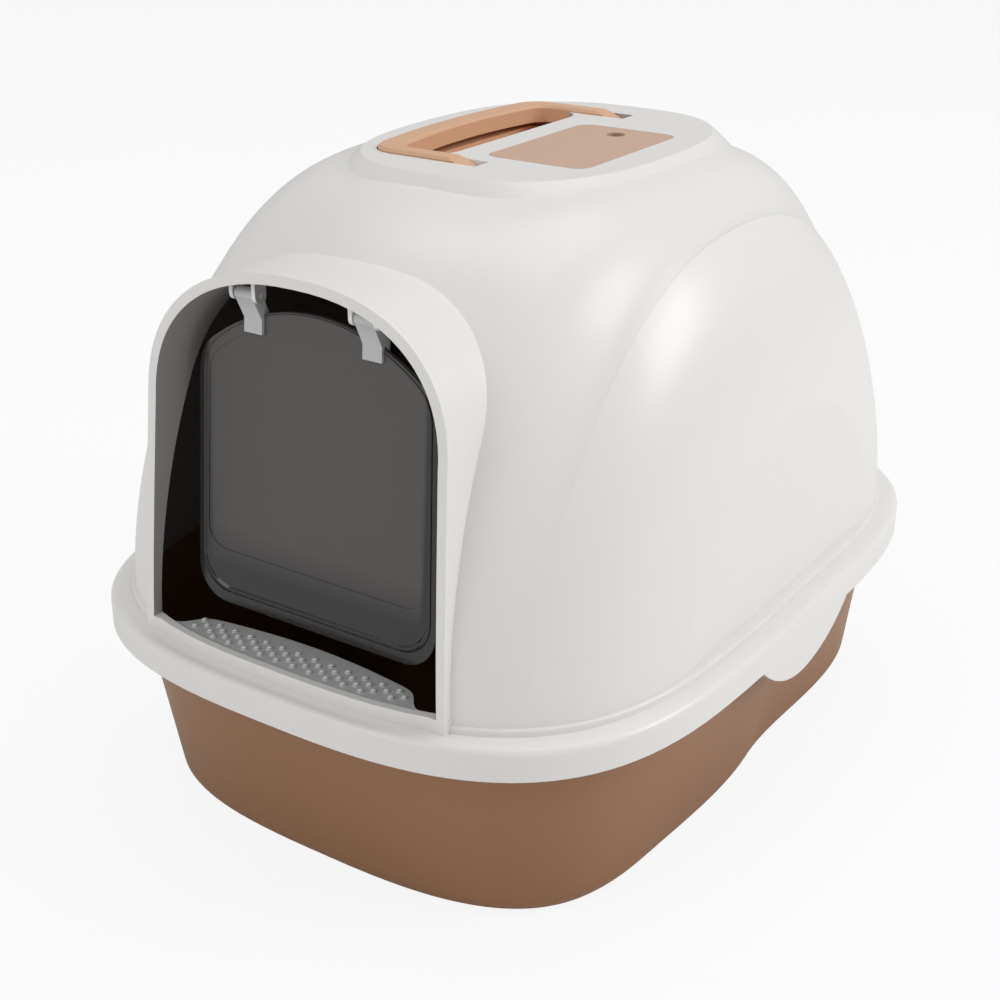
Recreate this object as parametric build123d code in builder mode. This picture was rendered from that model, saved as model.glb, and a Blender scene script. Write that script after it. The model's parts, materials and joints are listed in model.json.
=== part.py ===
from build123d import *
from math import cos, sin, pi, radians
import os

# A covered litter box: a tapered tray, a domed hood with a doorway under a visor,
# a hanging flap, a fold-down carrying handle and a filter under a lift-off cover.
# Millimetres. X is the box's right, -Y its front, Z up, and the floor is Z 0.
os.makedirs("parts", exist_ok=True)

# Rim of the hood, whose outline is a superellipse in plan
rim_half_x = 193.6
rim_half_y = 250.0
rim_power_x = 2.85
rim_power_y = 4.14
skirt_low_z = 109.0
ledge_top_z = 127.0
ledge_round = 4.2
hood_wall = 2.5
ledge_wall = 2.5
rim_clearance = 1.3

# Tabs that hang from the skirt at each side, for the fingers
tab_half_length = 57.0
tab_drop = 23.0

# Dome: arches that stand along Y, lofted along X
foot_half_x = 181.0
foot_half_y = 237.0
foot_height = 4.0
foot_spread = 1.6
foot_edge_round = 1.44
throat_step = 0.8
throat_overlap = 0.5
arch_base_z = 129.0
crown_z = 366.0
crease_x = 136.0
crease_z = 340.0
facet_x = 176.0
facet_half_y = 119.0
facet_z = 241.0
cheek_mid_x = 149.0
cheek_mid_z = 323.0
cheek_low_x = 163.5
cheek_low_z = 289.0
shoulder_x = 93.0
shoulder_z = 363.6
flank_x = 115.0
flank_z = 352.0
arch_power_z = 1.7
arch_power_middle = 5.0
arch_power_crease = 2.3

# Plateau on top of the dome
plateau_z = 369.3
plateau_half_x = 85.0
plateau_half_y = 111.0
plateau_y = 12.0
plateau_power = 2.65
plateau_bevel = 5.0
plateau_rise = 4.6
plateau_apron = 30.0
apron_rise = 26.6

# Doorway and the visor round it
door_sill_z = 134.5
door_foot_half = 97.0
door_spring_half = 92.0
door_spring_z = 262.0
door_top_z = 334.0
door_power = 2.35
visor_lip = 5.5
visor_front_y = -230.0
visor_rake = 20.0
visor_rake_power = 1.15
sill_bow = 9.0
visor_rear_y = -150.0
visor_waste = 60.0

# Tray
tray_foot_half_x = 155.6
tray_foot_half_y = 223.0
tray_foot_shift = 9.7
tray_foot_power_x = 2.8
tray_foot_power_y = 6.6
tray_top_half_x = 181.2
tray_top_half_y = 236.0
tray_wall = 2.5
tray_foot_round = 12.0
tray_flange = 2.5

# Step plate behind the sill, with its grip bumps
step_top_z = 134.0
step_plate_thick = 2.6
step_flange = 2.2
step_half = 89.0
step_waist_half = 72.0
step_middle_y = -207.0
step_waist_y = -216.0
step_clearance = 0.3
step_front_in = 4.0
step_corner = 9.0
step_bow_in = 12.0
step_bow = 4.0
bump_radius = 1.7
bump_height = 0.9
bump_pitch_x = 11.3
bump_pitch_y = 3.8
bump_rows = 5
bump_first_y = -232.6
bump_span = 150.0

# Flap, its two clips and their pins
hinge_y = -200.3
hinge_z = 323.0
flap_tilt = 4.6
flap_back = 7.0
flap_thick = 2.6
flap_top = 6.0
flap_height = 172.0
flap_top_half = 77.5
flap_foot_half = 81.0
flap_arch = 31.0
flap_top_round = 24.0
flap_foot_round = 20.0
flap_rim = 7.0
flap_foot_band = 24.0
flap_pocket = 0.9
clip_x = 38.5
clip_wide = 12.0
clip_leg = 1.9
clip_reach = 21.5
clip_eye = 3.6
clip_eye_share = 0.7
pin_radius = 1.5
running_clearance = 0.05
ear_gap = 0.4
ear_thick = 2.4
ear_radius = 4.2
ear_rise = 9.0

# Handle, folded flat towards -X, and the well that it lies in
pivot_x = 4.0
pivot_z = 363.4
handle_front_y = -64.5
handle_rear_y = 92.0
arm_wide = 12.0
grip_outer_x = -62.0
grip_inner_x = -48.0
grip_bow = 8.0
handle_under_z = 361.4
handle_over_z = 371.6
arm_tip_radius = 3.2
arm_ramp = 12.0
tip_cut_reach = 12.8
handle_outer_round = 19.0
handle_inner_round = 12.0
handle_edge = 1.6
handle_play = 0.7
handle_pin_radius = 1.8
well_wall = 2.2
well_floor_z = 349.0
well_floor = 2.0
well_edge_x = -18.0
well_round = 14.0
well_lip = 4.0
arm_swing_room = 6.6

# Filter cover, the basket under it and the carbon pad
cover_low_x = -1.0
cover_high_x = 64.0
cover_front_y = -46.0
cover_rear_y = 60.0
cover_round = 9.0
cover_gap = 0.4
cover_thick = 2.5
cover_hole = 5.5
cover_hole_inset = 17.0
basket_ledge = 4.0
basket_wall = 2.0
basket_depth = 17.0
basket_floor = 2.0
basket_slot_wide = 4.0
basket_slot_pitch = 9.0
pad_thick = 9.0
pad_gap = 1.0

outline_points = 56
arch_points = 29
rake_points = 9

# How far a cut runs past the faces that it opens
cut_margin = 1.0

# Heights that several pieces share
seat_z = ledge_top_z - ledge_wall
skin_under_z = plateau_z - cover_thick


def signed_power(value, power):
    return abs(value) ** power * (1 if value >= 0 else -1)


def oval(half_x, half_y, power_x, power_y, centre_y=0.0):
    """Points of a superellipse in plan, once round."""
    points = []
    for i in range(outline_points):
        turn = 2 * pi * i / outline_points
        x = half_x * signed_power(cos(turn), 2 / power_x)
        y = half_y * signed_power(sin(turn), 2 / power_y)
        points.append((x, y + centre_y))
    return points


def rim_oval(inset):
    return oval(rim_half_x - inset, rim_half_y - inset, rim_power_x, rim_power_y)


def foot_oval(inset):
    return oval(foot_half_x - inset, foot_half_y - inset, rim_power_x, rim_power_y)


def plateau_oval(spread):
    return oval(plateau_half_x + spread, plateau_half_y + spread, plateau_power, plateau_power, plateau_y)


def plan(points, z):
    """A sketch at height z from a closed smooth curve through the points."""
    with BuildSketch(Plane.XY.offset(z)) as outline:
        with BuildLine():
            Spline(*points, periodic=True)
        make_face()
    return outline.sketch


def foot_depth(x, inset):
    """Half-length in Y of the dome's foot at a distance x from the middle."""
    share = (abs(x) / (foot_half_x - inset)) ** rim_power_x
    return (foot_half_y - inset) * (1 - share) ** (1 / rim_power_y)


def arch(half_y, top_z, power_y):
    """Points of one arch of the dome in the YZ plane, from front foot to rear foot."""
    points = []
    for i in range(arch_points):
        turn = pi - pi * i / (arch_points - 1)
        y = half_y * signed_power(cos(turn), 2 / power_y)
        z = arch_base_z + (top_z - arch_base_z) * abs(sin(turn)) ** (2 / arch_power_z)
        points.append((y, z))
    return points


def vault_power(x):
    share = (abs(x) / crease_x) ** 1.05
    return arch_power_middle + (arch_power_crease - arch_power_middle) * share


def dome_arches(inset):
    """Stations of the dome: plane X, half-length, top and power of each arch."""
    vault = []
    for x, top in [(0, crown_z), (shoulder_x / 2, crown_z), (shoulder_x, shoulder_z),
                   (flank_x, flank_z), (crease_x, crease_z)]:
        vault.append((x, foot_depth(x, inset), top - inset, vault_power(x)))
    cheek = [vault[-1]]
    for x, top in [(cheek_mid_x, cheek_mid_z), (cheek_low_x, cheek_low_z)]:
        cheek.append((x - inset / 2, foot_depth(x, inset), top - inset, arch_power_crease))
    cheek.append((facet_x - inset, facet_half_y, facet_z, arch_power_crease))
    return vault, cheek


def arch_sketch(x, half_y, top_z, power_y):
    with BuildSketch(Plane.YZ.offset(x)) as section:
        with BuildLine():
            points = arch(half_y, top_z, power_y)
            Spline(*points)
            Line(points[-1], points[0])
        make_face()
    return section.sketch


def dome(inset):
    """The dome's solid, or its hollow, from one vault and two cheeks."""
    vault, cheek = dome_arches(inset)
    mirrored = [(-x, half_y, top, power) for x, half_y, top, power in vault[:0:-1]]
    with BuildPart() as side:
        loft([arch_sketch(*station) for station in cheek])
        mirror(about=Plane.YZ)
    with BuildPart() as body:
        loft([arch_sketch(*station) for station in mirrored + vault])
        add(side.part)
    return body.part


def door(grow, low_z):
    """The doorway's arch grown outward, as a sketch that faces the front."""
    foot_half = door_foot_half + grow
    spring_half = door_spring_half + grow
    rise = door_top_z + grow - door_spring_z
    curve = []
    for i in range(arch_points):
        turn = pi * i / (arch_points - 1)
        x = spring_half * signed_power(cos(turn), 2 / door_power)
        z = door_spring_z + rise * abs(sin(turn)) ** (2 / door_power)
        curve.append((x, z))
    with BuildSketch(Plane.XZ.offset(-visor_rear_y)) as outline:
        with BuildLine():
            Spline(*curve)
            Polyline(curve[-1], (-foot_half, low_z), (foot_half, low_z), curve[0])
        make_face()
    return outline.sketch


def visor_front():
    """What lies in front of the visor's raked front edge, seen from the side."""
    height = door_top_z + visor_lip - door_sill_z
    edge = []
    for i in range(rake_points):
        share = i / (rake_points - 1)
        edge.append((visor_front_y + visor_rake * share ** visor_rake_power, door_sill_z + height * share))
    far_y = visor_front_y - visor_waste
    with BuildSketch(Plane.YZ.offset(-rim_half_x)) as outline:
        with BuildLine():
            Spline(*edge)
            Polyline(edge[-1], (edge[-1][0], crown_z), (far_y, crown_z), (far_y, seat_z - cut_margin),
                     (visor_front_y, seat_z - cut_margin), edge[0])
        make_face()
    return outline.sketch


def handle_plan(grow, z, tip_room=0.0):
    """The folded handle's footprint, grown all round and at its two tips."""
    low_y = handle_front_y - arm_wide / 2 - grow
    high_y = handle_rear_y + arm_wide / 2 + grow
    arm = arm_wide + 2 * grow
    tip_x = pivot_x + arm_tip_radius + grow + tip_room
    outer_x = grip_outer_x - grow
    inner_x = grip_inner_x + grow
    middle_y = (low_y + high_y) / 2
    with BuildSketch(Plane.XY.offset(z)) as outline:
        with BuildLine():
            ThreePointArc((outer_x, low_y), (outer_x - grip_bow, middle_y), (outer_x, high_y))
            Polyline((outer_x, high_y), (tip_x, high_y), (tip_x, high_y - arm), (inner_x, high_y - arm))
            ThreePointArc((inner_x, high_y - arm), (inner_x - grip_bow, middle_y), (inner_x, low_y + arm))
            Polyline((inner_x, low_y + arm), (tip_x, low_y + arm), (tip_x, low_y), (outer_x, low_y))
        make_face()
        fillet(outline.vertices().group_by(Axis.X)[0], handle_outer_round + grow)
        inner = [v for v in outline.vertices() if abs(v.X - inner_x) < 0.01]
        fillet(inner, handle_inner_round - grow)
    return outline.sketch


def well_plan(grow, z):
    """The finger room between the bowed grip and the bar beside the cover."""
    low_x = grip_inner_x - grip_bow
    with BuildSketch(Plane.XY.offset(z)) as outline:
        with Locations(((low_x + well_edge_x) / 2, (handle_front_y + handle_rear_y) / 2)):
            Rectangle(well_edge_x - low_x + 2 * grow,
                      handle_rear_y - handle_front_y - arm_wide + 2 * grow)
        fillet(outline.vertices().group_by(Axis.X)[-1], well_round)
    return outline.sketch


def cover_plan(grow, z):
    with BuildSketch(Plane.XY.offset(z)) as outline:
        with Locations(((cover_low_x + cover_high_x) / 2, (cover_front_y + cover_rear_y) / 2)):
            RectangleRounded(cover_high_x - cover_low_x + 2 * grow,
                             cover_rear_y - cover_front_y + 2 * grow, cover_round + grow)
    return outline.sketch


def disc_along_x(radius, y, z, low_x, length):
    with BuildPart() as disc:
        with BuildSketch(Plane.YZ.offset(low_x)):
            with Locations((y, z)):
                Circle(radius)
        extrude(amount=length)
    return disc.part


def disc_along_y(radius, x, z, low_y, length):
    with BuildPart() as disc:
        with BuildSketch(Plane.XZ.offset(-low_y)):
            with Locations((x, z)):
                Circle(radius)
        extrude(amount=-length)
    return disc.part


tab_radius = (tab_half_length ** 2 + tab_drop ** 2) / (2 * tab_drop)
tilt = radians(flap_tilt)
flap_side = Plane(origin=(0, hinge_y, hinge_z), x_dir=(0, cos(tilt), -sin(tilt)), z_dir=(1, 0, 0))
flap_front = Plane(
    origin=(0, hinge_y + flap_back * cos(tilt), hinge_z - flap_back * sin(tilt)),
    x_dir=(1, 0, 0),
    z_dir=(0, -cos(tilt), sin(tilt)),
)
clip_places = {"left": -clip_x, "right": clip_x}
arm_places = {"front": handle_front_y, "rear": handle_rear_y}
ear_out = clip_wide / 2 + ear_gap
pin_length = clip_wide + 2 * (ear_gap + ear_thick)
handle_pin_length = arm_wide + 2 * (handle_play + well_wall)

# Tray: tapered walls, a rounded foot and a flange that the hood sits on
with BuildPart() as tray_shape:
    loft([plan(oval(tray_foot_half_x, tray_foot_half_y, tray_foot_power_x, tray_foot_power_y,
                    tray_foot_shift), 0),
          plan(oval(tray_top_half_x, tray_top_half_y, rim_power_x, rim_power_y), seat_z)])
    fillet(tray_shape.faces().sort_by(Axis.Z)[0].edges(), tray_foot_round)
    extrude(plan(rim_oval(hood_wall + rim_clearance), seat_z - tray_flange), amount=tray_flange)
with BuildPart() as tray_hollow:
    loft([plan(oval(tray_foot_half_x - tray_wall, tray_foot_half_y - tray_wall, tray_foot_power_x,
                    tray_foot_power_y, tray_foot_shift), tray_wall),
          plan(oval(tray_top_half_x - tray_wall, tray_top_half_y - tray_wall, rim_power_x, rim_power_y),
               seat_z)])
    fillet(tray_hollow.faces().sort_by(Axis.Z)[0].edges(), tray_foot_round - tray_wall)
with BuildPart() as tray:
    add(tray_shape.part)
    add(tray_hollow.part, mode=Mode.SUBTRACT)
tray.part.label = "tray"
export_step(tray.part, "parts/tray.step")

# Hood: skirt with its tabs and ledge, dome, visor and plateau, then the hollows
with BuildPart() as tabs:
    extrude(plan(rim_oval(0), skirt_low_z - tab_drop), amount=tab_drop)
    with BuildSketch(Plane.YZ.offset(-rim_half_x - cut_margin)):
        with Locations((0, skirt_low_z - tab_drop + tab_radius)):
            Circle(tab_radius)
    extrude(amount=2 * (rim_half_x + cut_margin), mode=Mode.INTERSECT)
with BuildPart() as visor:
    extrude(door(visor_lip, seat_z), amount=visor_rear_y - visor_front_y + sill_bow)
    extrude(visor_front(), amount=2 * rim_half_x, mode=Mode.SUBTRACT)
with BuildPart() as sill:
    extrude(plan(foot_oval(-foot_spread), seat_z), amount=door_sill_z - seat_z)
    with BuildSketch(Plane.XY.offset(seat_z)):
        with Locations((0, -foot_half_y)):
            Rectangle(2 * (door_foot_half + visor_lip), foot_half_y)
    extrude(amount=door_sill_z - seat_z, mode=Mode.INTERSECT)
with BuildPart() as foot:
    extrude(plan(foot_oval(-foot_spread), seat_z), amount=ledge_top_z + foot_height - seat_z)
    fillet(foot.faces().sort_by(Axis.Z)[-1].edges(), foot_edge_round)
with BuildPart() as hood_hollow:
    extrude(plan(foot_oval(hood_wall + throat_step), seat_z - cut_margin),
            amount=arch_base_z - seat_z + cut_margin + throat_overlap)
    add(dome(hood_wall))
with BuildPart() as hood:
    extrude(plan(rim_oval(0), skirt_low_z), amount=ledge_top_z - skirt_low_z)
    fillet(hood.faces().sort_by(Axis.Z)[-1].edges(), ledge_round)
    add(tabs.part)
    extrude(plan(rim_oval(hood_wall), skirt_low_z - tab_drop), amount=seat_z - skirt_low_z + tab_drop,
            mode=Mode.SUBTRACT)
    add(foot.part)
    add(dome(0))
    add(visor.part)
    add(sill.part)
    bevel_z = plateau_z - plateau_rise
    loft([plan(plateau_oval(plateau_apron), bevel_z - apron_rise),
          plan(plateau_oval(plateau_bevel), bevel_z)])
    loft([plan(plateau_oval(plateau_bevel), bevel_z), plan(plateau_oval(0), plateau_z)])
    add(hood_hollow.part, mode=Mode.SUBTRACT)
    extrude(door(0, door_sill_z), amount=visor_rear_y - visor_front_y + visor_rake, mode=Mode.SUBTRACT)
    for place in (handle_plan(handle_play, skin_under_z, arm_swing_room - arm_tip_radius),
                  well_plan(0, skin_under_z), cover_plan(0, skin_under_z)):
        extrude(place, amount=plateau_rise, mode=Mode.SUBTRACT)
    extrude(plan(plateau_oval(-hood_wall), well_floor_z), amount=skin_under_z - well_floor_z,
            mode=Mode.SUBTRACT)
    for side_x in clip_places.values():
        for low_x in (side_x - ear_out - ear_thick, side_x + ear_out):
            with BuildSketch(Plane.YZ.offset(low_x)):
                with Locations((hinge_y, hinge_z)):
                    Circle(ear_radius)
                with Locations((hinge_y, hinge_z + ear_rise / 2)):
                    Rectangle(2 * ear_radius, ear_rise)
            extrude(amount=ear_thick)
        add(disc_along_x(pin_radius, hinge_y, hinge_z, side_x - pin_length / 2, pin_length),
            mode=Mode.SUBTRACT)
hood.part.label = "hood"
export_step(hood.part, "parts/hood.step")

# Step plate: a thin shelf behind the sill with a front flange and grip bumps
with BuildPart() as step_plate:
    with BuildSketch(Plane.XY.offset(step_top_z - step_plate_thick)) as step_outline:
        with BuildLine():
            right = [(step_waist_half - step_bow_in, step_waist_y + step_bow),
                     (step_waist_half, step_waist_y),
                     (step_half - step_corner, step_waist_y - step_corner),
                     (step_half, visor_front_y + step_front_in)]
            rear = [(-x, y) for x, y in reversed(right)] + [(0, step_middle_y)] + right
            Spline(*rear)
            Polyline(rear[-1], (step_half, -rim_half_y), (-step_half, -rim_half_y), rear[0])
        make_face()
        add(plan(foot_oval(hood_wall + throat_step + step_clearance), 0), mode=Mode.INTERSECT)
    extrude(amount=step_plate_thick)
    with BuildSketch(Plane.XY.offset(seat_z)) as flange_outline:
        with Locations((0, -foot_half_y)):
            Rectangle(2 * step_waist_half, foot_half_y / 4)
        add(plan(foot_oval(hood_wall + throat_step + step_clearance), 0), mode=Mode.INTERSECT)
        add(plan(foot_oval(hood_wall + throat_step + step_clearance + step_flange), 0), mode=Mode.SUBTRACT)
    extrude(amount=step_top_z - seat_z)
    with BuildSketch(Plane.XY.offset(step_top_z)):
        for row in range(bump_rows):
            shift = (row % 2) * bump_pitch_x / 2
            count = int(bump_span / bump_pitch_x)
            for column in range(count):
                x = (column - (count - 1) / 2) * bump_pitch_x + shift - bump_pitch_x / 4
                y = bump_first_y + row * bump_pitch_y
                if y > -foot_depth(x, hood_wall) + bump_pitch_y:
                    with Locations((x, y)):
                        Circle(bump_radius)
    extrude(amount=bump_height)
step_plate.part.label = "step_plate"
export_step(step_plate.part, "parts/step_plate.step")

# Flap: a thin panel with a raised rim, hung behind the doorway
with BuildPart() as flap_panel:
    top_y = -flap_top
    foot_y = -flap_top - flap_height
    with BuildSketch(flap_front.offset(-flap_thick / 2)) as flap_outline:
        with BuildLine():
            ThreePointArc((-flap_top_half, top_y - flap_arch), (0, top_y),
                          (flap_top_half, top_y - flap_arch))
            Polyline((flap_top_half, top_y - flap_arch), (flap_foot_half, foot_y),
                     (-flap_foot_half, foot_y), (-flap_top_half, top_y - flap_arch))
        make_face()
        fillet(flap_outline.vertices().group_by(Axis.Y)[-1], flap_top_round)
        fillet(flap_outline.vertices().group_by(Axis.Y)[0], flap_foot_round)
    extrude(amount=flap_thick)
    with BuildSketch(flap_front.offset(flap_thick / 2)) as pocket_outline:
        with BuildLine():
            ThreePointArc((-flap_top_half, top_y - flap_arch), (0, top_y),
                          (flap_top_half, top_y - flap_arch))
            Polyline((flap_top_half, top_y - flap_arch), (flap_foot_half, foot_y + flap_foot_band),
                     (-flap_foot_half, foot_y + flap_foot_band), (-flap_top_half, top_y - flap_arch))
        make_face()
        fillet(pocket_outline.vertices().group_by(Axis.Y)[-1], flap_top_round)
        fillet(pocket_outline.vertices().group_by(Axis.Y)[0], flap_foot_round)
        offset(amount=-flap_rim, mode=Mode.REPLACE)
    extrude(amount=-flap_pocket, mode=Mode.SUBTRACT)
flap_panel.part.label = "flap_panel"
export_step(flap_panel.part, "parts/flap_panel.step")

# Clips: a hairpin on each side that grips the flap's top edge below a hinge eye
for side, side_x in clip_places.items():
    with BuildPart() as clip:
        near = flap_back - flap_thick / 2
        far = flap_back + flap_thick / 2
        drop = flap_top + flap_arch * (side_x / flap_top_half) ** 2
        eye_edge = clip_eye * clip_eye_share
        with BuildSketch(flap_side.offset(side_x - clip_wide / 2)):
            Circle(clip_eye)
            with BuildLine():
                Polyline((-eye_edge, -eye_edge), (near - clip_leg, -drop),
                         (near - clip_leg, -clip_reach), (near, -clip_reach), (near, -drop),
                         (far, -drop), (far, -clip_reach),
                         (far + clip_leg, -clip_reach), (far + clip_leg, -drop + clip_leg),
                         (eye_edge, eye_edge), (0, 0), close=True)
            make_face()
        extrude(amount=clip_wide)
        add(disc_along_x(pin_radius + running_clearance, hinge_y, hinge_z, side_x - clip_wide,
                         2 * clip_wide), mode=Mode.SUBTRACT)
        add(flap_panel.part, mode=Mode.SUBTRACT)
    clip.part.label = f"flap_clip_{side}"
    export_step(clip.part, f"parts/flap_clip_{side}.step")
    with BuildPart() as flap_pin:
        add(disc_along_x(pin_radius, hinge_y, hinge_z, side_x - pin_length / 2, pin_length))
    flap_pin.part.label = f"flap_pin_{side}"
    export_step(flap_pin.part, f"parts/flap_pin_{side}.step")

# Handle well: a cup under the plateau with a shelf for the handle and room for fingers
with BuildPart() as handle_well:
    extrude(handle_plan(handle_play + well_lip, skin_under_z - well_wall,
                        arm_swing_room - arm_tip_radius), amount=well_wall)
    extrude(well_plan(well_lip, skin_under_z - well_wall), amount=well_wall)
    extrude(handle_plan(handle_play + well_wall, handle_under_z - handle_play - well_floor - arm_tip_radius,
                        arm_swing_room - arm_tip_radius),
            amount=skin_under_z - handle_under_z + handle_play + well_floor + arm_tip_radius)
    extrude(well_plan(well_wall, well_floor_z), amount=skin_under_z - well_floor_z)
    extrude(well_plan(0, well_floor_z + well_floor), amount=skin_under_z - well_floor_z,
            mode=Mode.SUBTRACT)
    extrude(handle_plan(handle_play, handle_under_z - handle_play - arm_tip_radius,
                        arm_swing_room - arm_tip_radius),
            amount=skin_under_z, mode=Mode.SUBTRACT)
    for arm_y in arm_places.values():
        add(disc_along_y(handle_pin_radius, pivot_x, pivot_z, arm_y - handle_pin_length / 2,
                         handle_pin_length), mode=Mode.SUBTRACT)
handle_well.part.label = "handle_well"
export_step(handle_well.part, "parts/handle_well.step")

# Handle: a flat bail whose two arms ramp down to round tips on the pivot pins
past_x = pivot_x + tip_cut_reach
with BuildPart() as handle:
    extrude(handle_plan(0, handle_under_z), amount=handle_over_z - handle_under_z)
    chamfer(handle.faces().sort_by(Axis.Z)[-1].edges(), handle_edge)
    with BuildSketch(Plane.XZ.offset(-handle_rear_y - arm_wide)) as ramp:
        with BuildLine():
            Polyline((pivot_x - arm_ramp, handle_over_z), (pivot_x, pivot_z + arm_tip_radius),
                     (past_x, pivot_z + arm_tip_radius), (past_x, handle_over_z + cut_margin),
                     (pivot_x - arm_ramp, handle_over_z + cut_margin), close=True)
        make_face()
        with BuildLine():
            Polyline((pivot_x, pivot_z - 2 * arm_tip_radius), (past_x, pivot_z - 2 * arm_tip_radius),
                     (past_x, pivot_z + 2 * arm_tip_radius), (pivot_x, pivot_z + 2 * arm_tip_radius),
                     close=True)
        make_face()
        with Locations((pivot_x, pivot_z)):
            Circle(arm_tip_radius, mode=Mode.SUBTRACT)
    extrude(amount=handle_rear_y - handle_front_y + 2 * arm_wide, mode=Mode.SUBTRACT)
    for arm_y in arm_places.values():
        add(disc_along_y(arm_tip_radius, pivot_x, pivot_z, arm_y - arm_wide / 2, arm_wide))
        add(disc_along_y(handle_pin_radius + running_clearance, pivot_x, pivot_z, arm_y - arm_wide,
                         2 * arm_wide), mode=Mode.SUBTRACT)
handle.part.label = "handle"
export_step(handle.part, "parts/handle.step")
for end, arm_y in arm_places.items():
    with BuildPart() as handle_pin:
        add(disc_along_y(handle_pin_radius, pivot_x, pivot_z, arm_y - handle_pin_length / 2,
                         handle_pin_length))
    handle_pin.part.label = f"handle_pin_{end}"
    export_step(handle_pin.part, f"parts/handle_pin_{end}.step")

# Filter basket under the skin, the carbon pad in it and the cover over both
with BuildPart() as filter_basket:
    extrude(cover_plan(basket_ledge, skin_under_z - basket_wall), amount=basket_wall)
    extrude(cover_plan(-basket_ledge + basket_wall, skin_under_z - basket_depth), amount=basket_depth)
    extrude(cover_plan(-basket_ledge, skin_under_z - basket_depth + basket_floor), amount=basket_depth,
            mode=Mode.SUBTRACT)
    slot_length = cover_rear_y - cover_front_y - 2 * basket_ledge - 4 * basket_slot_wide
    slot_count = int((cover_high_x - cover_low_x - 2 * basket_ledge) / basket_slot_pitch)
    with BuildSketch(Plane.XY.offset(skin_under_z - basket_depth)):
        with Locations(((cover_low_x + cover_high_x) / 2, (cover_front_y + cover_rear_y) / 2)):
            with GridLocations(basket_slot_pitch, 1, slot_count, 1):
                SlotOverall(slot_length, basket_slot_wide, rotation=90)
    extrude(amount=basket_floor, mode=Mode.SUBTRACT)
filter_basket.part.label = "filter_basket"
export_step(filter_basket.part, "parts/filter_basket.step")

with BuildPart() as carbon_pad:
    extrude(cover_plan(-basket_ledge - pad_gap, skin_under_z - basket_depth + basket_floor),
            amount=pad_thick)
carbon_pad.part.label = "carbon_pad"
export_step(carbon_pad.part, "parts/carbon_pad.step")

with BuildPart() as filter_cover:
    extrude(cover_plan(-cover_gap, skin_under_z), amount=cover_thick)
    with BuildSketch(Plane.XY.offset(skin_under_z)):
        with Locations(((cover_low_x + cover_high_x) / 2, cover_rear_y - cover_hole_inset)):
            Circle(cover_hole)
    extrude(amount=cover_thick, mode=Mode.SUBTRACT)
filter_cover.part.label = "filter_cover"
export_step(filter_cover.part, "parts/filter_cover.step")
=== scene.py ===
import json
from math import radians

import bmesh
import bpy
from mathutils import Matrix, Vector

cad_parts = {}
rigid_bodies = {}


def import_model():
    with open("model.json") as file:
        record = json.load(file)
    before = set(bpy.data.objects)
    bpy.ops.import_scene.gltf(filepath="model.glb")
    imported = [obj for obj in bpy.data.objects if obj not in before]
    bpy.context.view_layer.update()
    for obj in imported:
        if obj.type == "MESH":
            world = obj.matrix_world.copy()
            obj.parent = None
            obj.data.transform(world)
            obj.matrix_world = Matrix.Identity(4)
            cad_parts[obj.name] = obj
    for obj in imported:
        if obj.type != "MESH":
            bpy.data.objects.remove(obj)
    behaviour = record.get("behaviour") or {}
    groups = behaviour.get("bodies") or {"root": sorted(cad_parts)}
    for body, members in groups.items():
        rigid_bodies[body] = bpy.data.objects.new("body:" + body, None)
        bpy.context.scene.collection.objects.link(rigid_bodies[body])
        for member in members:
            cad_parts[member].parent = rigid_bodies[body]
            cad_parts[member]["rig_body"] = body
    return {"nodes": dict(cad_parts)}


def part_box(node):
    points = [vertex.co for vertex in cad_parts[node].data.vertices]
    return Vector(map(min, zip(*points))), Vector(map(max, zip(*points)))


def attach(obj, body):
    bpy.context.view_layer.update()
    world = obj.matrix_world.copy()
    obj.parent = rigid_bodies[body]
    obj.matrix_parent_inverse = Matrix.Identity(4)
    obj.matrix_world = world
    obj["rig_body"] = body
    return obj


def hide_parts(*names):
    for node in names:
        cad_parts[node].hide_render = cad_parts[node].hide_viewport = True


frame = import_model()

bl_info = {
    "name": "Covered Litter Box",
    "version": (1, 0, 0),
    "blender": (4, 5, 0),
    "location": "3D View > Sidebar > Litter Box",
    "description": "Dresses a packed litter box with its moulded finishes and fine shapes",
    "category": "Object",
}

MM = 0.001

# Edges that turn more than this stay crisp, and corners this near a flat face lie in it
EDGE_ANGLE = radians(30)
FLAT_REACH = 0.05 * MM

# The hood's side arches stay crisp where they lie in the planes X = plus or minus these
CREASE_PLANES = (136 * MM, 176 * MM)
CREASE_REACH = 0.2 * MM
CREASE_FOOT_Z = 134 * MM

# A point inside the hood that its inner face looks towards; faces that look at it get the painted shade
# grey
HOOD_MIDDLE = (0.0, 0.0, 0.118)

# The step plate's round bumps cover its flat discs, and sink a little into the plate
BUMP_DISC_HEIGHT = 0.9 * MM
BUMP_SINK = 0.3 * MM
BUMP_SEGMENTS = 14
BUMP_RINGS = 8

# The flap's bead: distance in from the side, and height above the face, of each loop across it
BEAD_PROFILE = ((3.0 * MM, -0.3 * MM), (3.3 * MM, 0.5 * MM), (3.9 * MM, 0.9 * MM),
                (4.5 * MM, 0.8 * MM), (5.2 * MM, -0.3 * MM))
# The bead stands this many times further in from the flap's foot than from its top
BEAD_FOOT_SHARE = 4.6
# A face of the flap looks to the front where the Y of its normal is below this
FRONT_LIMIT = -0.9

# The flap's frost begins and is full at these distances in from its side, and up from its foot
FROST_FROM_SIDE = (8 * MM, 11 * MM)
FROST_FROM_FOOT = (22 * MM, 46 * MM)

# Pattern sizes of the finishes
ORANGE_PEEL = 9 * MM
FROST_TEXTURE = 1.4 * MM
STEP_GRAIN = 1.2 * MM
FELT_FIBRE = 1.5 * MM
# The darkest and lightest grain of the peach mouldings, as shares of their colour
GRAIN_SHADES = (0.93, 1.07)

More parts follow.
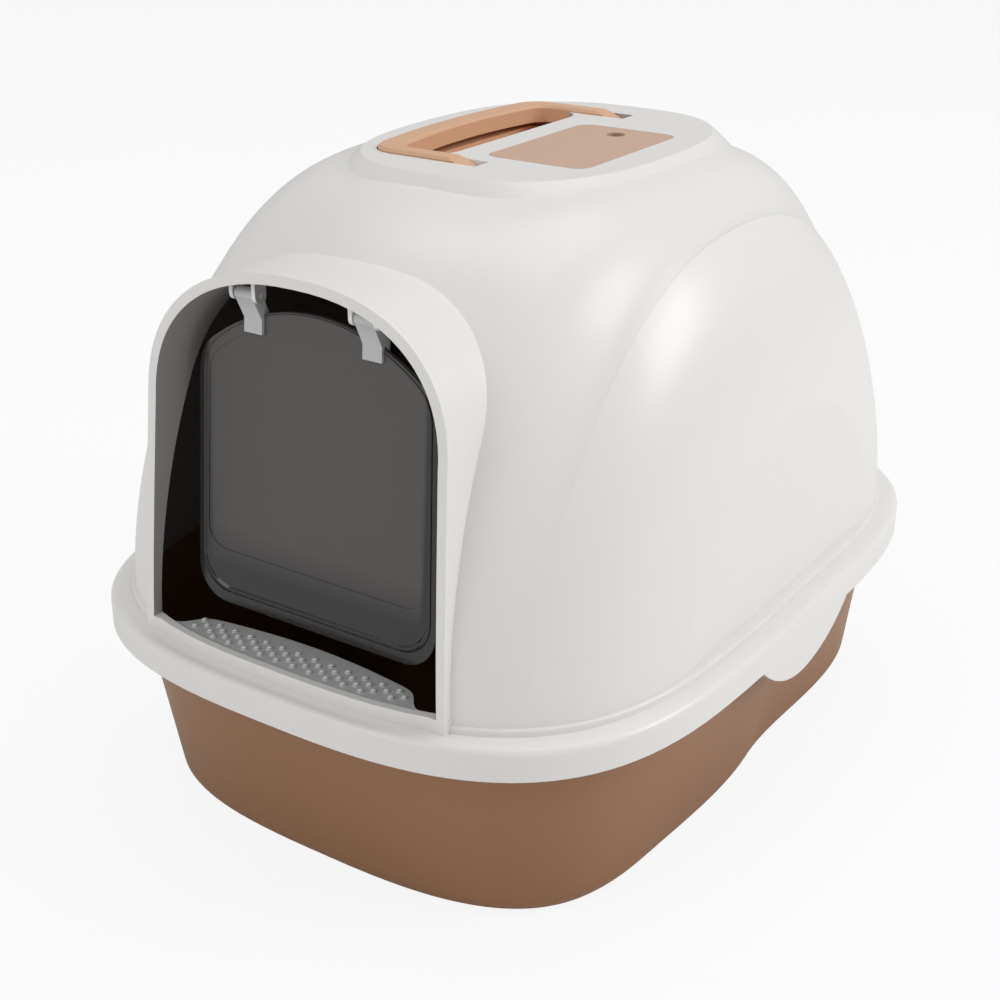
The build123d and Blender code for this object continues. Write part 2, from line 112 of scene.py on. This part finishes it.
# The stage, in metres and watts: each lamp's name, place, size and power
FLOOR_SIZE = 14.0
FLOOR_GLOW_SHARE = 0.88
WORLD_STRENGTH = 0.45
LAMPS = (("key", (2.2, 1.0, 1.6), 1.2, 27.0),
         ("front", (-0.9, -2.3, 1.6), 1.6, 14.0),
         ("top", (0.1, 0.5, 2.6), 1.8, 14.0))
LAMP_TARGET = (0, 0, 0.15)

# The photograph's camera: its lens and sensor in millimetres, its place, and the way behind it
CAMERA_LENS = 58.93
CAMERA_SENSOR = 36.0
CAMERA_PLACE = (0.5128, -0.7866, 0.5658)
CAMERA_BACK = (0.5121, -0.7549, 0.4098)


class LITTERBOX_PG_sizes(bpy.types.PropertyGroup):
    """Sizes that the dressed pieces use, in metres"""
    bump_radius: bpy.props.FloatProperty(
        name="Bump radius", description="Radius of one grip bump on the step plate",
        default=1.85 * MM, unit="LENGTH")
    bump_height: bpy.props.FloatProperty(
        name="Bump height", description="Height of one grip bump above the step plate",
        default=1.5 * MM, unit="LENGTH")
    merge_gap: bpy.props.FloatProperty(
        name="Merge gap", description="Corners nearer than this are one corner",
        default=0.004 * MM, unit="LENGTH", precision=6)
    grain: bpy.props.FloatProperty(
        name="Grain", description="Size of one grain of the matte peach and bronze mouldings",
        default=0.9 * MM, unit="LENGTH", precision=5)


class LITTERBOX_PG_colours(bpy.types.PropertyGroup):
    """Colours of the mouldings, as sRGB hex text"""
    hood: bpy.props.StringProperty(
        name="Hood", description="Pearl white of the hood and the filter basket", default="EFEDEA")
    # Painted shade: the hood's inner face is the same white plastic as its outside, drawn in a darker
    # grey
    hood_inside_painted_shade: bpy.props.StringProperty(
        name="Hood inside", description="Grey painted on the hood's inner face", default="B0AEAC")
    tray: bpy.props.StringProperty(
        name="Tray", description="Bronze brown of the tray", default="9D7250")
    peach: bpy.props.StringProperty(
        name="Peach", description="Handle, its pins and its well", default="DCB08E")
    cover: bpy.props.StringProperty(
        name="Cover", description="Paler peach of the grained filter cover", default="D1AF98")
    flap: bpy.props.StringProperty(
        name="Flap", description="Frosted field of the smoked flap", default="5F5C5A")
    flap_rim: bpy.props.StringProperty(
        name="Flap rim", description="Clear smoked rim of the flap", default="221E1C")
    clip: bpy.props.StringProperty(
        name="Clip", description="Light grey of the clips", default="C9C9C9")
    step: bpy.props.StringProperty(
        name="Step plate", description="Grey of the step plate", default="BCBEBD")
    # Painted highlight: the bumps are the plate's own grey plastic, drawn paler where light catches their
    # tops
    bump: bpy.props.StringProperty(
        name="Grip bumps", description="Paler grey of the bumps' rounded tops", default="E6E7E5")


def linear(text):
    """An sRGB hex colour as linear RGBA."""
    parts = [int(text[i:i + 2], 16) / 255 for i in (0, 2, 4)]
    out = [p / 12.92 if p <= 0.04045 else ((p + 0.055) / 1.055) ** 2.4 for p in parts]
    return (*out, 1.0)


def shaded(colour, share):
    """A linear colour times a share, no brighter than white."""
    return (*(min(1.0, part * share) for part in colour[:3]), 1.0)


def add_node(tree, kind, links=None, **settings):
    """Adds one node, sets its sockets or properties, and links what feeds it."""
    new = tree.nodes.new(kind)
    for name, value in settings.items():
        if hasattr(new, name):
            setattr(new, name, value)
        else:
            new.inputs[name.replace("_", " ")].default_value = value
    for socket, source in (links or {}).items():
        tree.links.new(source, new.inputs[socket])
    return new


def begin(name):
    """A new material's node tree with only its output."""
    material = bpy.data.materials.new(name)
    material.use_nodes = True
    tree = material.node_tree
    tree.nodes.clear()
    return material, tree, tree.nodes.new("ShaderNodeOutputMaterial")


def finish_with(tree, output, shader):
    """Links a shader to its material's surface."""
    tree.links.new(shader.outputs[0], output.inputs["Surface"])


def painted_inside_shade_mask(tree, centre, sharpness=40.0):
    """1 where a face looks towards the centre point, which is inside the shell: where the painted shade
    goes.
    """
    place = add_node(tree, "ShaderNodeTexCoord")
    away = add_node(tree, "ShaderNodeVectorMath", {0: place.outputs["Object"]}, operation="SUBTRACT")
    away.inputs[1].default_value = centre
    facing = add_node(tree, "ShaderNodeVectorMath",
                      {0: place.outputs["Normal"], 1: away.outputs[0]}, operation="DOT_PRODUCT")
    scaled = add_node(tree, "ShaderNodeMath", {0: facing.outputs["Value"]}, operation="MULTIPLY")
    scaled.inputs[1].default_value = -sharpness
    scaled.use_clamp = True
    return scaled.outputs[0]


def two_colours(tree, factor, first, second):
    """The first linear colour where the factor is 0, and the second where it is 1."""
    mix = add_node(tree, "ShaderNodeMix", data_type="RGBA")
    mix.inputs["A"].default_value = first
    mix.inputs["B"].default_value = second
    tree.links.new(factor, mix.inputs["Factor"])
    return next(s for s in mix.outputs if s.type == "RGBA")


def grain_noise(tree, size):
    """Noise with features of about this size, which stays with the piece."""
    place = add_node(tree, "ShaderNodeTexCoord")
    noise = add_node(tree, "ShaderNodeTexNoise", {"Vector": place.outputs["Object"]},
                     Scale=1 / size, Detail=2.0, Roughness=0.5)
    return noise.outputs[0]


def grain_bump(tree, size, strength, height):
    """A normal that is roughened by grain of this size and height."""
    bump = add_node(tree, "ShaderNodeBump", {"Height": grain_noise(tree, size)},
                    Strength=strength, Distance=height)
    return bump.outputs[0]


def pearl_polypropylene(colours):
    """Injection-moulded polypropylene from a polished tool: white, softly glossy, faint orange peel, with
    its inner face painted a darker grey as painted shade.
    """
    material, tree, output = begin("pearl_polypropylene")
    mask = painted_inside_shade_mask(tree, HOOD_MIDDLE)
    # Faces that look into the hood take the darker grey, as painted shade
    colour = two_colours(tree, mask, linear(colours.hood), linear(colours.hood_inside_painted_shade))
    bump = grain_bump(tree, ORANGE_PEEL, 0.06, 0.4 * MM)
    shader = add_node(tree, "ShaderNodeBsdfPrincipled", {"Base Color": colour, "Normal": bump},
                      Roughness=0.34, IOR=1.49, Coat_Weight=0.15, Coat_Roughness=0.2)
    finish_with(tree, output, shader)
    return material


def bronze_polypropylene(colours, grain):
    """Polypropylene with a metallic-brown masterbatch: satin, with a very fine moulded grain."""
    material, tree, output = begin("bronze_polypropylene")
    bump = grain_bump(tree, grain, 0.12, 0.1 * MM)
    shader = add_node(tree, "ShaderNodeBsdfPrincipled", {"Normal": bump},
                      Base_Color=linear(colours.tray), Roughness=0.42, Metallic=0.15)
    finish_with(tree, output, shader)
    return material


def plain_plastic(name, colour, roughness, grain=None, depth=0.15):
    """A dyed moulding whose only pattern is the grain of its tool."""
    material, tree, output = begin(name)
    shader = add_node(tree, "ShaderNodeBsdfPrincipled",
                      Base_Color=linear(colour), Roughness=roughness)
    if grain:
        tree.links.new(grain_bump(tree, grain, depth, 0.2 * MM), shader.inputs["Normal"])
    finish_with(tree, output, shader)
    return material


def peach_polypropylene(name, colour, grain, depth):
    """Polypropylene from a spark-eroded tool: matte, with a sparkle of fine grain in its colour."""
    material, tree, output = begin(name)
    dark, light = (shaded(linear(colour), share) for share in GRAIN_SHADES)
    grained = two_colours(tree, grain_noise(tree, grain), dark, light)
    bump = grain_bump(tree, grain, depth, 0.15 * MM)
    shader = add_node(tree, "ShaderNodeBsdfPrincipled", {"Base Color": grained, "Normal": bump},
                      Roughness=0.52)
    finish_with(tree, output, shader)
    return material


def fade_in(tree, value, start, end):
    """0 where the value is at its start, and 1 where it is at its end."""
    fade = add_node(tree, "ShaderNodeMapRange", {"Value": value}, From_Min=start, From_Max=end)
    return fade.outputs[0]


def smoked_polystyrene(colours):
    """Clear smoked polystyrene, frosted in the middle by a textured tool and polished at the rim."""
    material, tree, output = begin("smoked_polystyrene")
    low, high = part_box("flap_panel")
    place = add_node(tree, "ShaderNodeTexCoord")
    split = add_node(tree, "ShaderNodeSeparateXYZ", {0: place.outputs["Object"]})
    side = add_node(tree, "ShaderNodeMath", {0: split.outputs["X"]}, operation="ABSOLUTE")
    side_in = fade_in(tree, side.outputs[0], *(high.x - reach for reach in FROST_FROM_SIDE))
    foot_in = fade_in(tree, split.outputs["Z"], *(low.z + reach for reach in FROST_FROM_FOOT))
    frost = add_node(tree, "ShaderNodeMath", {0: side_in, 1: foot_in}, operation="MULTIPLY")
    colour = two_colours(tree, frost.outputs[0], linear(colours.flap_rim), linear(colours.flap))
    rough = add_node(tree, "ShaderNodeMapRange", {"Value": frost.outputs[0]}, To_Min=0.12, To_Max=0.55)
    bump = grain_bump(tree, FROST_TEXTURE, 0.25, 0.15 * MM)
    shader = add_node(tree, "ShaderNodeBsdfPrincipled",
                      {"Base Color": colour, "Roughness": rough.outputs[0], "Normal": bump},
                      Transmission_Weight=0.2, IOR=1.59)
    finish_with(tree, output, shader)
    return material


def carbon_felt():
    """Needled polyester felt loaded with activated carbon: matte black with short fibres."""
    return plain_plastic("carbon_felt", "1A1A1A", 0.9, FELT_FIBRE, 0.6)


def deselect():
    """Leaves nothing selected."""
    for o in bpy.context.view_layer.objects:
        o.select_set(False)


def choose(obj):
    """Makes one object the only one selected, and the active one."""
    deselect()
    obj.select_set(True)
    bpy.context.view_layer.objects.active = obj


def in_crease(edge, planes):
    """Whether both ends of an edge lie in one plane X = plus or minus a crease plane, above the skirt."""
    for plane in planes:
        if all(abs(abs(v.co.x) - plane) < CREASE_REACH and v.co.z > CREASE_FOOT_Z
               for v in edge.verts):
            return True
    return False


def dressed_copy(node, name, material, crease_planes=()):
    """A welded, smoothly shaded copy of a moulded node, which stands for it.

    Edges that lie in a crease plane stay crisp."""
    source = frame["nodes"][node]
    mesh = source.data.copy()
    mesh.name = name
    piece = bpy.data.objects.new(name, mesh)
    bpy.context.scene.collection.objects.link(piece)
    shell = bmesh.new()
    shell.from_mesh(mesh)
    bmesh.ops.remove_doubles(shell, verts=shell.verts, dist=bpy.context.scene.litterbox_sizes.merge_gap)
    for edge in shell.edges:
        if in_crease(edge, crease_planes):
            edge.smooth = False
    shell.to_mesh(mesh)
    shell.free()
    if mesh.has_custom_normals:
        choose(piece)
        bpy.ops.mesh.customdata_custom_splitnormals_clear()
    mesh.materials.clear()
    mesh.materials.append(material)
    choose(piece)
    bpy.ops.object.shade_smooth_by_angle(angle=EDGE_ANGLE, keep_sharp_edges=True)
    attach(piece, source["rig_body"])
    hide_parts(node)
    return piece


def disc_centres(node, top_z, radius):
    """Middles of the small round discs whose flat tops are a node's highest faces."""
    tops = [v.co for v in node.data.vertices if abs(v.co.z - top_z) < FLAT_REACH]
    groups = []
    for corner in tops:
        for group in groups:
            if (group[0].xy - corner.xy).length < 2 * radius:
                group.append(corner)
                break
        else:
            groups.append([corner])
    middles = []
    for group in groups:
        xs = [c.x for c in group]
        ys = [c.y for c in group]
        middles.append(((min(xs) + max(xs)) / 2, (min(ys) + max(ys)) / 2))
    return middles


class LITTERBOX_OT_hood(bpy.types.Operator):
    """Dress the hood: dome, visor, plateau and skirt in one white moulding"""
    bl_idname = "litterbox.hood"
    bl_label = "Dress hood"

    def execute(self, context):
        material = pearl_polypropylene(context.scene.litterbox_colours)
        dressed_copy("hood", "hood_shell", material, CREASE_PLANES)
        return {"FINISHED"}


class LITTERBOX_OT_tray(bpy.types.Operator):
    """Dress the bronze tray"""
    bl_idname = "litterbox.tray"
    bl_label = "Dress tray"

    def execute(self, context):
        scene = context.scene
        material = bronze_polypropylene(scene.litterbox_colours, scene.litterbox_sizes.grain)
        dressed_copy("tray", "tray_shell", material)
        return {"FINISHED"}


class LITTERBOX_OT_step_plate(bpy.types.Operator):
    """Dress the step plate and its rows of round grip bumps"""
    bl_idname = "litterbox.step_plate"
    bl_label = "Dress step plate"

    def execute(self, context):
        scene = context.scene
        material = plain_plastic("grey_polypropylene", scene.litterbox_colours.step, 0.4, STEP_GRAIN)
        dressed_copy("step_plate", "step_plate_top", material)
        # The bumps' paler grey is painted highlight; their lower roughness stands for their polish
        bump_highlight_material = plain_plastic("polished_painted_highlight_polypropylene", scene.litterbox_colours.bump, 0.3)
        self.add_bumps(scene.litterbox_sizes, bump_highlight_material)
        return {"FINISHED"}

    def add_bumps(self, sizes, material):
        """One round bump, copied over each raised disc of the plate."""
        disc_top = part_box("step_plate")[1].z
        deselect()
        bpy.ops.mesh.primitive_uv_sphere_add(segments=BUMP_SEGMENTS, ring_count=BUMP_RINGS, radius=1.0)
        dome = bpy.context.active_object
        dome.scale = (sizes.bump_radius, sizes.bump_radius, sizes.bump_height)
        bpy.ops.object.transform_apply(location=False, rotation=False, scale=True)
        bpy.ops.object.mode_set(mode="EDIT")
        bpy.ops.mesh.select_all(action="SELECT")
        bpy.ops.mesh.bisect(plane_co=(0, 0, -BUMP_SINK), plane_no=(0, 0, 1),
                            clear_inner=True, use_fill=True)
        bpy.ops.object.mode_set(mode="OBJECT")
        bpy.ops.object.shade_smooth()
        first = dome.data.copy()
        joined = bmesh.new()
        for x, y in disc_centres(frame["nodes"]["step_plate"], disc_top, sizes.bump_radius):
            shifted = first.copy()
            shifted.transform(Matrix.Translation((x, y, disc_top - BUMP_DISC_HEIGHT)))
            joined.from_mesh(shifted)
            bpy.data.meshes.remove(shifted)
        joined.to_mesh(dome.data)
        joined.free()
        dome.name = "grip_bumps"
        dome.data.materials.clear()
        dome.data.materials.append(material)
        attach(dome, "hood")


class LITTERBOX_OT_flap(bpy.types.Operator):
    """Dress the smoked flap, its clips and their pins"""
    bl_idname = "litterbox.flap"
    bl_label = "Dress flap"

    def execute(self, context):
        colours = context.scene.litterbox_colours
        window = dressed_copy("flap_panel", "flap_window", smoked_polystyrene(colours))
        self.add_bead(window)
        material = plain_plastic("grey_acetal", colours.clip, 0.35)
        for side in ("left", "right"):
            dressed_copy(f"flap_clip_{side}", f"clip_{side}", material)
            dressed_copy(f"flap_pin_{side}", f"clip_pin_{side}", material)
        return {"FINISHED"}

    def add_bead(self, window):
        """The raised bead round the flap, extruded from the outline of its front face and drawn in.

        The loops shrink about a point near the top, so the bead stands further up from the foot."""
        low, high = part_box("flap_panel")
        forward = self.front_normal(window)
        level = max(v.co.dot(forward) for v in window.data.vertices)
        choose(window)
        bpy.ops.object.duplicate()
        bead = bpy.context.view_layer.objects.active
        bead.name = "flap_bead"
        self.keep_front_outline(bead, forward, level)
        tall = high.z - low.z
        middle = Vector((0, 0, high.z - tall / (1 + BEAD_FOOT_SHARE)))
        middle += forward * (level - middle.dot(forward))
        bpy.ops.object.mode_set(mode="EDIT")
        bpy.ops.mesh.select_all(action="SELECT")
        before, raised = 1.0, 0.0
        for step, (inset, height) in enumerate(BEAD_PROFILE):
            share = 1 - inset / high.x
            if step:
                bpy.ops.mesh.extrude_region_move()
            bpy.ops.transform.resize(value=(share / before,) * 3, center_override=middle)
            bpy.ops.transform.translate(value=forward * (height - raised))
            before, raised = share, height
        bpy.ops.mesh.select_all(action="SELECT")
        bpy.ops.mesh.select_non_manifold(extend=False)
        bpy.ops.mesh.bridge_edge_loops()
        bpy.ops.mesh.select_all(action="SELECT")
        bpy.ops.mesh.normals_make_consistent(inside=False)
        bpy.ops.object.mode_set(mode="OBJECT")
        choose(bead)
        bpy.ops.object.shade_smooth_by_angle(angle=EDGE_ANGLE)
        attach(bead, "flap")

    def front_normal(self, window):
        """The way the flap's largest flat side looks, towards the front."""
        side = Vector()
        for face in window.data.polygons:
            if face.normal.y < FRONT_LIMIT:
                side += face.normal * face.area
        return side.normalized()

    def keep_front_outline(self, bead, forward, level):
        """Leaves only the outer outline of the flap's front face."""
        shell = bmesh.new()
        shell.from_mesh(bead.data)
        front = {v for v in shell.verts if abs(v.co.dot(forward) - level) < FLAT_REACH}
        rim = [f for f in shell.faces if all(v in front for v in f.verts)]
        edges = {e for f in rim for e in f.edges if sum(g in rim for g in e.link_faces) == 1}
        start = max(front, key=lambda v: v.co.x)
        outline, waiting = set(), [start]
        while waiting:
            corner = waiting.pop()
            for edge in corner.link_edges:
                if edge in edges and edge not in outline:
                    outline.add(edge)
                    waiting.append(edge.other_vert(corner))
        bmesh.ops.delete(shell, geom=list(shell.faces), context="FACES_ONLY")
        bmesh.ops.delete(shell, geom=[e for e in shell.edges if e not in outline], context="EDGES")
        bmesh.ops.delete(shell, geom=[v for v in shell.verts if not v.link_edges], context="VERTS")
        shell.to_mesh(bead.data)
        shell.free()


class LITTERBOX_OT_handle(bpy.types.Operator):
    """Dress the handle, its pins, the well that it folds into and the filter cover"""
    bl_idname = "litterbox.handle"
    bl_label = "Dress handle"

    def execute(self, context):
        colours = context.scene.litterbox_colours
        grain = context.scene.litterbox_sizes.grain
        material = peach_polypropylene("peach_polypropylene", colours.peach, grain, 0.15)
        grained = peach_polypropylene("peach_polypropylene_grained", colours.cover, grain, 0.4)
        dressed_copy("handle", "carry_handle", material)
        dressed_copy("handle_well", "well_cup", material)
        for end in ("front", "rear"):
            dressed_copy(f"handle_pin_{end}", f"carry_pin_{end}", material)
        dressed_copy("filter_cover", "filter_lid", grained)
        return {"FINISHED"}


class LITTERBOX_OT_filter(bpy.types.Operator):
    """Dress the filter basket and the carbon pad inside it"""
    bl_idname = "litterbox.filter"
    bl_label = "Dress filter"

    def execute(self, context):
        white = plain_plastic("basket_polypropylene", context.scene.litterbox_colours.hood, 0.45)
        dressed_copy("filter_basket", "basket", white)
        dressed_copy("carbon_pad", "felt_pad", carbon_felt())
        return {"FINISHED"}


class LITTERBOX_OT_stage(bpy.types.Operator):
    """Set the floor, the lamps, the world and the camera"""
    bl_idname = "litterbox.stage"
    bl_label = "Set stage"

    def execute(self, context):
        self.add_floor()
        self.light_world(context.scene)
        for name, place, size, power in LAMPS:
            self.add_lamp(context.scene, name, place, size, power)
        self.add_camera(context.scene)
        context.scene.view_settings.view_transform = "Standard"
        return {"FINISHED"}

    def add_floor(self):
        """White paper that the camera sees as nearly white, and that still takes a shadow."""
        deselect()
        bpy.ops.mesh.primitive_plane_add(size=FLOOR_SIZE, location=(0, 0, 0))
        floor = bpy.context.active_object
        floor.name = "studio_floor"
        material, tree, output = begin("white_paper")
        paper = add_node(tree, "ShaderNodeBsdfDiffuse", Color=(0.9, 0.9, 0.9, 1.0))
        glow = add_node(tree, "ShaderNodeEmission", Strength=1.0)
        rays = add_node(tree, "ShaderNodeLightPath")
        share = add_node(tree, "ShaderNodeMath", {0: rays.outputs["Is Camera Ray"]}, operation="MULTIPLY")
        share.inputs[1].default_value = FLOOR_GLOW_SHARE
        shader = add_node(tree, "ShaderNodeMixShader",
                          {0: share.outputs[0], 1: paper.outputs[0], 2: glow.outputs[0]})
        finish_with(tree, output, shader)
        floor.data.materials.append(material)

    def light_world(self, scene):
        """A soft white world, which the camera sees as plain white."""
        world = bpy.data.worlds.new("studio_world")
        world.use_nodes = True
        scene.world = world
        tree = world.node_tree
        tree.nodes.clear()
        light = add_node(tree, "ShaderNodeBackground", Color=(1, 1, 1, 1), Strength=WORLD_STRENGTH)
        white = add_node(tree, "ShaderNodeBackground", Color=(1, 1, 1, 1), Strength=1.0)
        rays = add_node(tree, "ShaderNodeLightPath")
        mix = add_node(tree, "ShaderNodeMixShader", {0: rays.outputs["Is Camera Ray"],
                                                     1: light.outputs[0], 2: white.outputs[0]})
        end = add_node(tree, "ShaderNodeOutputWorld", {"Surface": mix.outputs[0]})
        end.is_active_output = True

    def add_lamp(self, scene, name, place, size, power):
        """One square lamp, turned towards the object."""
        lamp = bpy.data.lights.new(name, "AREA")
        lamp.size = size
        lamp.energy = power
        holder = bpy.data.objects.new(name, lamp)
        holder.location = place
        aim = Vector(LAMP_TARGET) - Vector(place)
        holder.rotation_euler = aim.to_track_quat("-Z", "Y").to_euler()
        scene.collection.objects.link(holder)

    def add_camera(self, scene):
        """The camera at the photograph's viewing angle."""
        camera = bpy.data.cameras.new("photo_camera")
        camera.lens = CAMERA_LENS
        camera.sensor_width = CAMERA_SENSOR
        holder = bpy.data.objects.new("photo_camera", camera)
        holder.location = CAMERA_PLACE
        holder.rotation_euler = (-Vector(CAMERA_BACK)).to_track_quat("-Z", "Y").to_euler()
        scene.collection.objects.link(holder)
        scene.camera = holder


class LITTERBOX_PT_panel(bpy.types.Panel):
    """Lists the litter box's steps in the sidebar"""
    bl_idname = "LITTERBOX_PT_panel"
    bl_label = "Litter Box"
    bl_space_type = "VIEW_3D"
    bl_region_type = "UI"
    bl_category = "Litter Box"

    def draw(self, context):
        layout = self.layout
        for name in STEPS:
            layout.operator(f"litterbox.{name}")
        for group in (context.scene.litterbox_sizes, context.scene.litterbox_colours):
            for name in group.bl_rna.properties.keys():
                if name not in {"rna_type", "name"}:
                    layout.prop(group, name)


STEPS = ("stage", "tray", "hood", "step_plate", "flap", "handle", "filter")
CLASSES = (
    LITTERBOX_PG_sizes, LITTERBOX_PG_colours, LITTERBOX_OT_stage, LITTERBOX_OT_tray,
    LITTERBOX_OT_hood, LITTERBOX_OT_step_plate, LITTERBOX_OT_flap, LITTERBOX_OT_handle,
    LITTERBOX_OT_filter, LITTERBOX_PT_panel,
)


def register():
    for cls in CLASSES:
        bpy.utils.register_class(cls)
    bpy.types.Scene.litterbox_sizes = bpy.props.PointerProperty(type=LITTERBOX_PG_sizes)
    bpy.types.Scene.litterbox_colours = bpy.props.PointerProperty(type=LITTERBOX_PG_colours)


def unregister():
    del bpy.types.Scene.litterbox_colours
    del bpy.types.Scene.litterbox_sizes
    for cls in reversed(CLASSES):
        bpy.utils.unregister_class(cls)


def main():
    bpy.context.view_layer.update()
    register()
    for name in STEPS:
        getattr(bpy.ops.litterbox, name)()


if __name__ == "__main__":
    main()
